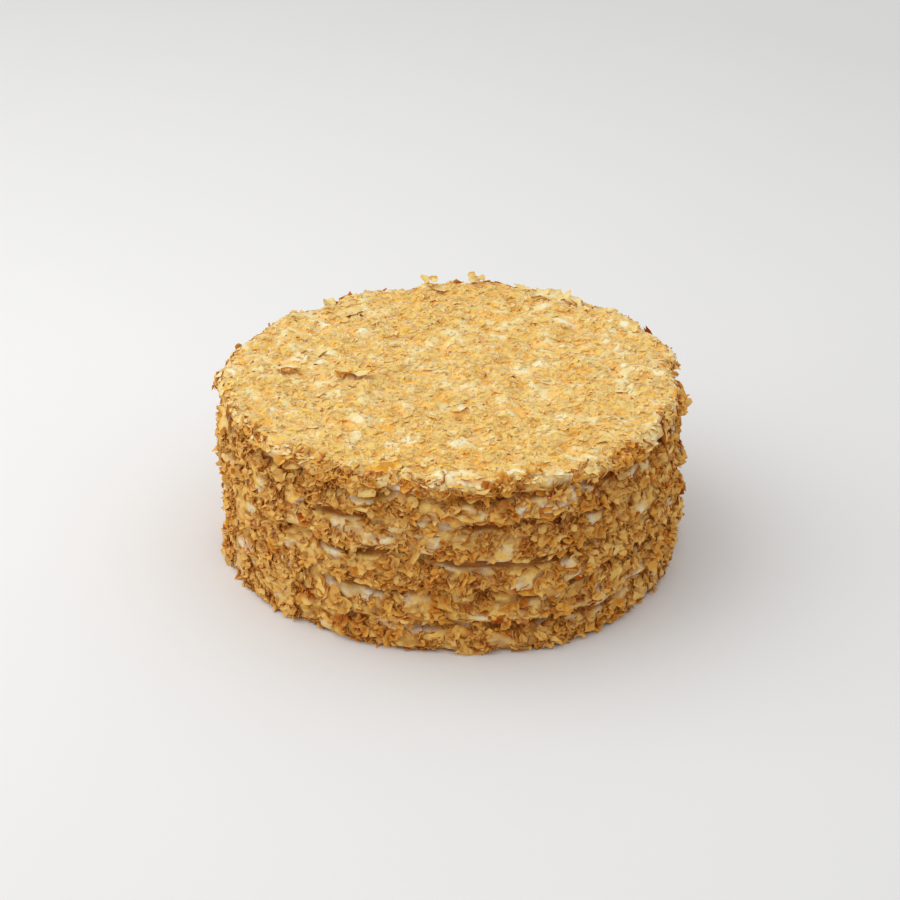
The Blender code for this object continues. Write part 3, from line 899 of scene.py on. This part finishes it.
def make_ribbons(name, count, fields, density, form, draw):
    """Thin curled shavings that stand on edge in the coat."""
    spots = scatter(fields, count, density, draw)
    normal = spots["normal"]
    field = field_values(spots["place"], RIBBON_ACROSS, 3.1, noise.noise_vector)
    along = along_surface(field + 0.35 * draw.normal(size=(count, 3)), normal)
    across = np.cross(normal, along)
    step = np.linspace(-1.0, 1.0, RIBBON_STEPS + 1)
    length = between(draw, RIBBON_STRETCH, count) * form.length
    bend = draw.normal(scale=RIBBON_BEND, size=(count, 1))
    wave = draw.normal(scale=RIBBON_WAVE, size=(count, len(step)))
    sway = length[:, None] * (bend * step**2 + wave)
    rise = between(draw, form.height, count)[:, None] * (1.0 - RIBBON_END_DROP * step**2)
    rise = rise * draw.uniform(*RIBBON_NOTCH, size=(count, len(step)))
    lean = form.lean * draw.normal(size=(count, 1)) + RIBBON_TWIST * draw.normal(size=wave.shape)
    lean = np.radians(np.clip(lean, -RIBBON_MOST_LEAN, RIBBON_MOST_LEAN))
    half = draw.uniform(*form.half_width, size=(count, 1))
    root = np.full((count, len(step)), -RIBBON_ROOT)
    sideways = np.stack([sway - half, sway + half, sway + rise * np.tan(lean)], axis=2)
    upward = np.stack([root, root, rise], axis=2)
    forward = np.repeat(0.5 * length[:, None] * step, 3, axis=1)
    ways = (forward, sideways.reshape(count, -1), upward.reshape(count, -1))
    verts = crumb_points(spots["place"], (along, across, normal), ways)
    tone = form.tone + 0.7 * field_values(spots["place"], 7.0 * MM, 5.0)
    tone = side_tone(tone, spots) + draw.normal(scale=0.15, size=count)
    # lift and under carry painted shade: the roots count as undersides
    values = {
        "tone": tone[:, None],
        "edge": np.tile((0.0, 0.0, 1.0), len(step)),
        "lift": ways[2] / MM,
        "under": np.tile((1.0, 1.0, 0.0), len(step)),
    }
    faces, corners = ribbon_template()
    return crumb_piece(name, verts, faces, corners, values)


def make_shelf_flakes(name, count, fields, density, form, turn, draw):
    """Flakes that jut out along the ledges and the rim like small shelves, with a dark gap below."""
    least_lean, most_lean, usual_tone = turn
    spots = scatter(fields, count, density, draw)
    normal = spots["normal"]
    up = unit(np.array((0.0, 0.0, 1.0)) - normal * normal[:, 2:])
    lean = np.radians(draw.uniform(least_lean, most_lean, count))[:, None]
    facing = normal * np.cos(lean) + up * np.sin(lean)
    level = unit(np.cross(up, normal))
    axes = spun_axes(level, facing, draw.normal(scale=SHELF_SPIN, size=(count, 1)))
    sizes = leaf_sizes(form, count, draw)
    sunk = draw.uniform(-0.6, 0.2, count) * MM
    tone = usual_tone + 0.6 * field_values(spots["place"], 8.0 * MM, 5.0)
    tone = tone + draw.normal(scale=0.15, size=count)
    return make_leaves(name, spots, axes, (*sizes, sunk), tone, form.rim, draw)


def large_side_places():
    """Where the model's own large flakes sit on the side: evenly spread by the golden angle."""
    places = []
    normals = []
    for i in range(WALL_LARGE):
        angle = i * GOLDEN_ANGLE
        up = len(SHEET_LINES) * (i + 0.5) / WALL_LARGE
        place = wall_point(int(up), 0.15 + 0.45 * (up % 1.0), angle)
        place.z = max(place.z, 7.0 * MM)
        places.append(place)
        normals.append((math.cos(angle), math.sin(angle), 0.15))
    return np.array(places), unit(np.array(normals))


def large_top_places():
    """Where the model's own large flakes lie on the top."""
    places = []
    for i in range(TOP_LARGE):
        angle = i * GOLDEN_ANGLE
        reach = 0.93 * RADIUS * math.sqrt((i + 0.5) / TOP_LARGE)
        x = reach * math.cos(angle)
        y = reach * math.sin(angle)
        places.append((x, y, top_height(x, y)))
    return np.array(places), np.tile((0.0, 0.0, 1.0), (TOP_LARGE, 1))


def make_large_flakes(name, own, extra, lie, draw):
    """Large leaves of pastry: the model's own, and smaller ones between them."""
    usual_lean, least_sunk, most_sunk, usual_tone = lie
    places, normals = own
    count = len(places) + len(extra["place"])
    spots = {
        "place": np.concatenate([places, extra["place"]]),
        "normal": np.concatenate([normals, extra["normal"]]),
        "lip": np.zeros(count),
    }
    lean = np.radians(np.abs(draw.normal(scale=usual_lean, size=count)))
    axes = lay_frames(spots, lean, LARGE_LAY, draw)
    own_length = between(draw, LARGE_FORM.length, len(places))
    extra_length = between(draw, EXTRA_LENGTH, len(extra["place"]))
    sizes = leaf_sizes(LARGE_FORM, count, draw, np.concatenate([own_length, extra_length]))
    sunk = draw.uniform(least_sunk, most_sunk, count) * MM
    tone = usual_tone + draw.normal(scale=0.2, size=count)
    return make_leaves(name, spots, axes, (*sizes, sunk), tone, LARGE_FORM.rim, draw)


def make_raised_flakes(name, draw):
    """The flakes that stick up from the top, with a dark gap under their raised edge."""
    plan, sizes, turns, tone = zip(*RAISED_FLAKES)
    length, width, rise = np.array(sizes).T * MM
    lean, heading = np.radians(np.array(turns)).T
    place = np.array([(x * MM, y * MM, top_height(x * MM, y * MM)) for x, y in plan])
    count = len(place)
    facing = np.stack(
        [np.sin(lean) * np.cos(heading), np.sin(lean) * np.sin(heading), np.cos(lean)], axis=1
    )
    along = np.stack([-np.sin(heading), np.cos(heading), np.zeros(count)], axis=1)
    axes = (along, np.cross(facing, along), facing)
    spots = {"place": place, "normal": np.tile((0.0, 0.0, 1.0), (count, 1))}
    curl = draw.uniform(*RAISED_CURL, count)
    ruffle = draw.uniform(*RAISED_RUFFLE, count)
    sizes = (length, width, curl, ruffle, -rise)
    return make_leaves(name, spots, axes, sizes, np.array(tone), RAISED_RIM, draw)


def new_material(name, roughness):
    """A new node material, its node tree and its main shader."""
    material = bpy.data.materials.new(name)
    material.use_nodes = True
    shader = material.node_tree.nodes["Principled BSDF"]
    shader.inputs["Roughness"].default_value = roughness
    return material, material.node_tree, shader


def feed(tree, socket, value):
    """Feeds a socket from another socket, a colour or a number."""
    if isinstance(value, bpy.types.NodeSocket):
        tree.links.new(value, socket)
    elif isinstance(value, tuple):
        socket.default_value = (*value, 1.0)
    else:
        socket.default_value = value


def add_node(tree, kind, settings=None, inputs=None):
    node = tree.nodes.new(kind)
    for key, value in (settings or {}).items():
        setattr(node, key, value)
    for key, value in (inputs or {}).items():
        feed(tree, node.inputs[key], value)
    return node


def read_field(tree, name):
    return add_node(tree, "ShaderNodeAttribute", {"attribute_name": name}).outputs["Fac"]


def object_noise(tree, across, detail):
    """Noise in the object's own space, with features about as wide as across."""
    place = add_node(tree, "ShaderNodeTexCoord").outputs["Object"]
    inputs = {"Vector": place, "Scale": 1.0 / across, "Detail": detail}
    return add_node(tree, "ShaderNodeTexNoise", {}, inputs).outputs["Fac"]


def add_ramp(tree, source, stops):
    """A colour ramp with (position, colour) stops, fed by source."""
    ramp = add_node(tree, "ShaderNodeValToRGB", {}, {"Fac": source})
    elements = ramp.color_ramp.elements
    while len(elements) > 1:
        elements.remove(elements[-1])
    elements[0].position = stops[0][0]
    elements[0].color = (*stops[0][1], 1.0)
    for position, colour in stops[1:]:
        elements.new(position).color = (*colour, 1.0)
    return ramp.outputs["Color"]


def add_mix(tree, share, first, second, blend="MIX"):
    """Mixes two colours. share, first and second are sockets or plain values."""
    settings = {"data_type": "RGBA", "blend_type": blend}
    return add_node(tree, "ShaderNodeMix", settings, {0: share, 6: first, 7: second}).outputs[2]


def add_math(tree, operation, first, second):
    return add_node(tree, "ShaderNodeMath", {"operation": operation}, {0: first, 1: second}).outputs[0]


def add_range(tree, source, low, high, to_low=0.0, to_high=1.0):
    inputs = {"Value": source, "From Min": low, "From Max": high, "To Min": to_low, "To Max": to_high}
    return add_node(tree, "ShaderNodeMapRange", {}, inputs).outputs["Result"]


def add_bump(tree, shader, height, strength, distance):
    inputs = {"Height": height, "Strength": strength, "Distance": distance}
    bump = add_node(tree, "ShaderNodeBump", {}, inputs)
    tree.links.new(bump.outputs["Normal"], shader.inputs["Normal"])


def baked_material(name, stops, rim, deep, under, rim_share, depths):
    """Baked pastry: browned by its tone, paler at rims, painted shade in gaps and undersides."""
    material, tree, shader = new_material(name, 0.62)
    shader.inputs["Specular IOR Level"].default_value = 0.04
    mottle = add_range(tree, object_noise(tree, 1.3 * MM, 3.0), 0.3, 0.7, -0.22, 0.22)
    tone = add_math(tree, "ADD", read_field(tree, "tone"), mottle)
    colour = add_ramp(tree, tone, stops)
    edge = add_math(tree, "MULTIPLY", read_field(tree, "edge"), rim_share)
    colour = add_mix(tree, edge, colour, rim)
    # Painted shade: darker the lower a point lies among the crumbs, and on undersides and ribbon roots
    depth = add_range(tree, read_field(tree, "lift"), *depths)
    colour = add_mix(tree, depth, colour, deep, "MULTIPLY")
    colour = add_mix(tree, read_field(tree, "under"), colour, under, "MULTIPLY")
    tree.links.new(colour, shader.inputs["Base Color"])
    blister = object_noise(tree, 0.9 * MM, 2.0)
    add_bump(tree, shader, blister, 0.3, 0.15 * MM)
    tree.links.new(add_range(tree, blister, 0.3, 0.7, 0.5, 0.75), shader.inputs["Roughness"])
    return material


def coat_material():
    """Cream and soaked pastry where they show, and browner under the crumbs and in the creases, where
    shade is painted.
    """
    material, tree, shader = new_material("cream_coat", 0.5)
    cloud = object_noise(tree, 7.0 * MM, 5.0)
    mottle = object_noise(tree, 2.2 * MM, 4.0)
    topness = add_range(tree, read_field(tree, "topness"), 0.3, 0.8)
    # Side and top copies: the side's darker colours are partly painted shade
    side_and_top = (
        [add_ramp(tree, cloud, stops) for stops in (CREAM, TOP_CREAM)],
        [add_ramp(tree, mottle, stops) for stops in (SOAKED, TOP_SOAKED)],
        (UNDER_CRUMBS_SHADE, TOP_UNDER_CRUMBS_SHADE),
        (CREVICE_SHADE, TOP_CREVICE_SHADE),
        (SPECK, TOP_SPECK),
    )
    cream, soaked, under, crevice_shade, speck = [add_mix(tree, topness, *pair) for pair in side_and_top]
    # Painted shade: all but the bare patches take the dark colour of the shade under the crumbs
    colour = add_mix(tree, add_range(tree, read_field(tree, "bare"), 0.1, 0.7), under, soaked)
    share = add_range(tree, read_field(tree, "cream"), 0.2, 0.8)
    colour = add_mix(tree, share, colour, cream)
    specks = add_range(tree, object_noise(tree, 1.2 * MM, 2.0), 0.56, 0.68, 0.0, 0.75)
    colour = add_mix(tree, specks, colour, speck)
    # Painted shade in the fine relief's creases, in the grooves and in the holes
    crease = add_range(tree, read_field(tree, "crease"), 0.1, -0.6, 0.0, 0.7)
    groove = add_range(tree, read_field(tree, "groove"), 0.1, 0.7, 0.0, 0.9)
    colour = add_mix(tree, add_math(tree, "MAXIMUM", crease, groove), colour, crevice_shade)
    tree.links.new(colour, shader.inputs["Base Color"])
    tree.links.new(add_range(tree, share, 0.0, 1.0, 0.6, 0.28), shader.inputs["Roughness"])
    add_bump(tree, shader, object_noise(tree, 1.1 * MM, 4.0), 0.8, 0.5 * MM)
    shader.inputs["Specular IOR Level"].default_value = 0.3
    shader.inputs["Subsurface Weight"].default_value = 0.3
    shader.inputs["Subsurface Radius"].default_value = (1.0, 0.8, 0.6)
    shader.inputs["Subsurface Scale"].default_value = 1.5 * MM
    return material


def floor_material():
    material, tree, shader = new_material("pale_floor", 0.6)
    place = add_node(tree, "ShaderNodeTexCoord").outputs["Object"]
    # Painted light: the floor is paler near one point and darker away from it, a painted pool of light
    reach = add_node(tree, "ShaderNodeVectorMath", {"operation": "DISTANCE"}, {0: place})
    reach.inputs[1].default_value = FLOOR_PAINTED_LIGHT_AT
    cloud = add_range(tree, object_noise(tree, 0.1, 2.0), 0.3, 0.7, -0.02, 0.02)
    share = add_range(tree, reach.outputs["Value"], *FLOOR_FADE)
    colour = add_ramp(tree, add_math(tree, "ADD", share, cloud), ((0.0, FLOOR_NEAR), (1.0, FLOOR_FAR)))
    tree.links.new(colour, shader.inputs["Base Color"])
    shader.inputs["Specular IOR Level"].default_value = 0.2
    return material


def make_floor():
    mesh = bpy.data.meshes.new("floor")
    corners = [(-1, -1), (1, -1), (1, 1), (-1, 1)]
    mesh.from_pydata([(FLOOR_REACH * x, FLOOR_REACH * y, 0.0) for x, y in corners], [], [(0, 1, 2, 3)])
    floor = new_object("floor", mesh)
    mesh.materials.append(floor_material())


def make_camera():
    data = bpy.data.cameras.new("camera")
    data.angle = CAMERA_FOV
    data.clip_start = 0.01
    camera = new_object("camera", data)
    aim = Vector((0.0, 0.0, CAMERA_AIM_HEIGHT))
    back = Vector((0.0, -math.cos(CAMERA_ELEVATION), math.sin(CAMERA_ELEVATION)))
    camera.location = aim + back * CAMERA_DISTANCE
    camera.rotation_euler = (-back).to_track_quat("-Z", "Y").to_euler()
    bpy.context.scene.camera = camera


def make_light():
    """Soft light from above, a little from the left and the back, in a bright pale room."""
    place, aim, size, power, colour = WINDOW
    data = bpy.data.lights.new("window", "AREA")
    data.size = size
    data.energy = power
    data.color = colour
    light = new_object("window", data)
    light.location = place
    light.rotation_euler = (aim - place).to_track_quat("-Z", "Y").to_euler()
    world = bpy.data.worlds.new("room")
    world.use_nodes = True
    tree = world.node_tree
    room = tree.nodes["Background"]
    direction = add_node(tree, "ShaderNodeTexCoord").outputs["Generated"]
    split = add_node(tree, "ShaderNodeSeparateXYZ", {}, {"Vector": direction})
    up = add_range(tree, split.outputs["Z"], 0.0, 0.8)
    tree.links.new(add_mix(tree, up, ROOM_SIDES, ROOM_CEILING), room.inputs["Color"])
    room.inputs["Strength"].default_value = 1.0
    bpy.context.scene.world = world


def finish_piece(piece, material):
    piece.data.materials.clear()
    piece.data.materials.append(material)
    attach(piece, "root")


def make_crumbs(fields, side, top):
    """All the leaves and shavings, with the side's material or the top's."""
    draw = np.random.default_rng(SCATTER_SEED)
    noise.seed_set(SCATTER_SEED)
    on_side = side_density(fields, *SIDE_KEPT)
    on_top = top_density(fields, TOP_KEPT)
    own_side = (large_side_places(), scatter(fields, SIDE_EXTRA_LARGE, on_side, draw))
    own_top = (large_top_places(), scatter(fields, TOP_EXTRA_LARGE, on_top, draw))
    on_lips = fields["lip"] ** 2 * on_side + LEDGE_STRAYS * on_side
    rim_middle, rim_reach = RIM_SLOPE
    on_rim = np.clip(1.0 - np.abs(fields["facing_up"] - rim_middle) / rim_reach, 0.0, 1.0)
    ledge = (LEDGE_FLAKES, fields, on_lips, LEDGE_FORM, LEDGE_TURN, draw)
    rim = (RIM_FLAKES, fields, on_rim * fields["upper"], RIM_FORM, RIM_TURN, draw)
    pieces = (
        (make_side_curls(fields, draw), side),
        (make_side_flakes(fields, draw), side),
        (make_ribbons("side_ribbons", SIDE_RIBBONS, fields, on_side, SIDE_RIBBON, draw), side),
        (make_large_flakes("side_large_flakes", *own_side, LARGE_SIDE, draw), side),
        (make_top_flakes(fields, draw), top),
        (make_ribbons("top_ribbons", TOP_RIBBONS, fields, on_top, TOP_RIBBON, draw), top),
        (make_large_flakes("top_large_flakes", *own_top, LARGE_TOP, draw), top),
        (make_raised_flakes("raised_flakes", draw), top),
        (make_shelf_flakes("ledge_flakes", *ledge), side),
        (make_shelf_flakes("rim_flakes", *rim), top),
    )
    for piece, material in pieces:
        finish_piece(piece, material)


def main():
    make_camera()
    make_light()
    make_floor()
    coat, fields = make_coat()
    finish_piece(coat, coat_material())
    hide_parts("cake")
    # The side's material is darker than the top's: partly its own colour, partly painted shade
    side_colours = (SIDE_BAKED, SIDE_RIM, SIDE_DEPTH_SHADE, SIDE_UNDERSIDE_SHADE)
    top_colours = (TOP_BAKED, TOP_RIM, TOP_DEPTH_SHADE, TOP_UNDERSIDE_SHADE)
    side = baked_material("baked_side", *side_colours, SIDE_RIM_SHARE, SIDE_DEPTHS)
    top = baked_material("baked_top", *top_colours, TOP_RIM_SHARE, TOP_DEPTHS)
    make_crumbs(fields, side, top)
    bpy.context.scene.view_settings.view_transform = "Standard"
    bpy.context.scene.cycles.diffuse_bounces = DIFFUSE_BOUNCES


main()
